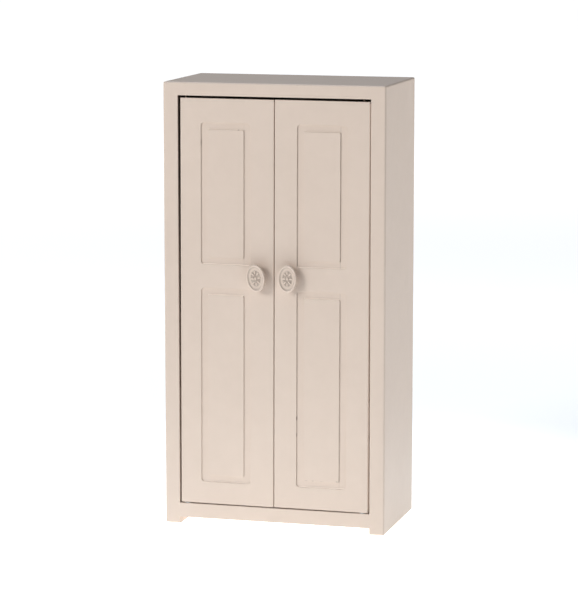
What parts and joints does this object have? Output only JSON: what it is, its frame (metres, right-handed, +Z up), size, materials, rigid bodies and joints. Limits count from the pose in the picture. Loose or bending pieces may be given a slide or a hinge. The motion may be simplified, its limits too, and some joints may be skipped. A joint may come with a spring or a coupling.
{
  "type": "miniature wardrobe",
  "caption": "Tall dolls' house wardrobe with inset panelled doors on pin hinges, oval knobs, an inside shelf and a hanging rail.",
  "frame": {"origin": "on the floor, at the centre of the whole outline with the knobs included", "axes": "+Z up along the height, -Y out of the doors, +X to the right as one faces the doors"},
  "size_m": [0.112, 0.0666, 0.22],
  "materials": {
    "cream_paint": "eggshell paint",
    "knob_paint": "eggshell paint",
    "rail_wood": "plain birch",
    "steel": "bright zinc",
    "nickel": "nickel plate"
  },
  "bodies": {
    "cabinet": {"side_left": "cream_paint", "side_right": "cream_paint", "top_board": "cream_paint", "bottom_board": "cream_paint", "back_panel": "cream_paint", "shelf": "cream_paint", "door_stop": "cream_paint", "hanging_rail": "rail_wood", "board_dowels": "rail_wood", "back_panel_brads": "steel", "hinge_pin_top_left": "steel", "hinge_pin_top_right": "steel", "hinge_pin_bottom_left": "steel", "hinge_pin_bottom_right": "steel", "hinge_washer_left": "steel", "hinge_washer_right": "steel", "catch_magnet_left": "nickel", "catch_magnet_right": "nickel"},
    "left_door": {"door_left": "cream_paint", "knob_left": "knob_paint", "knob_screw_left": "steel", "strike_plate_left": "steel"},
    "right_door": {"door_right": "cream_paint", "knob_right": "knob_paint", "knob_screw_right": "steel", "strike_plate_right": "steel"}
  },
  "joints": [
    {"name": "left_door_hinge", "type": "hinge", "parent": "cabinet", "child": "left_door", "pos_m": [-0.0448, -0.0256, 0], "axis": [0, 0, -1], "range_deg": [0, 120]},
    {"name": "right_door_hinge", "type": "hinge", "parent": "cabinet", "child": "right_door", "pos_m": [0.0448, -0.0256, 0], "axis": [0, 0, 1], "range_deg": [0, 120]}
  ]
}
